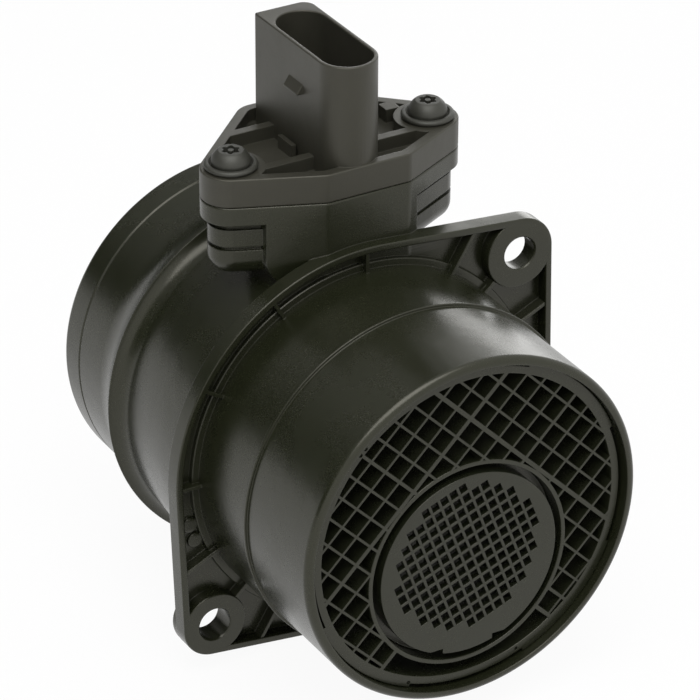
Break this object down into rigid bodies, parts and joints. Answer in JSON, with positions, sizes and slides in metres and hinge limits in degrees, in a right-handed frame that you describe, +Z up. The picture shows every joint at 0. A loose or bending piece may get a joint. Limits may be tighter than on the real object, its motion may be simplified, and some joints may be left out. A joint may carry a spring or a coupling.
{
  "type": "mass airflow sensor",
  "caption": "Mass airflow sensor with a flanged flow tube, diagonal inlet grille, fine centre strainer, and a screwed-on sensor insert with an upright plug shroud.",
  "frame": {"origin": "on the flow tube's axis, in the mounting face of the flange", "axes": "+Y along the tube from inlet to outlet, +Z up towards the plug, +X to the right seen from the inlet"},
  "size_m": [0.1012, 0.1191, 0.1456],
  "materials": {
    "housing_plastic": "moulded, fine grained, semi-matt",
    "grille_plastic": "moulded, semi-matt",
    "strainer_plastic": "moulded, semi-matt",
    "sensor_plastic": "moulded, glass-filled, semi-matt",
    "cover_plastic": "moulded, semi-matt",
    "carrier_metal": "rolled sheet",
    "board_ceramic": "fired, fine grained",
    "silicon": "polished",
    "chip_resin": "moulded resin",
    "lead_metal": "tinned",
    "terminal_metal": "tinned",
    "seal_rubber": "moulded, matt",
    "washer_metal": "black passivated",
    "screw_metal": "black passivated"
  },
  "bodies": {
    "root": {"flow_housing": "housing_plastic", "inlet_grille": "grille_plastic", "centre_strainer": "strainer_plastic", "sensor_body": "sensor_plastic", "electronics_cover": "cover_plastic", "channel_cover": "cover_plastic", "base_plate": "carrier_metal", "hybrid_board": "board_ceramic", "chip_holder": "cover_plastic", "sensor_chip": "silicon", "control_chip": "chip_resin", "trim_resistors": "chip_resin", "filter_capacitors": "board_ceramic", "intake_thermistor": "lead_metal", "terminal_1": "terminal_metal", "terminal_2": "terminal_metal", "terminal_3": "terminal_metal", "terminal_4": "terminal_metal", "terminal_5": "terminal_metal", "stem_seal": "seal_rubber", "washer_left": "washer_metal", "washer_right": "washer_metal", "mount_screw_left": "screw_metal", "mount_screw_right": "screw_metal"}
  },
  "joints": []
}
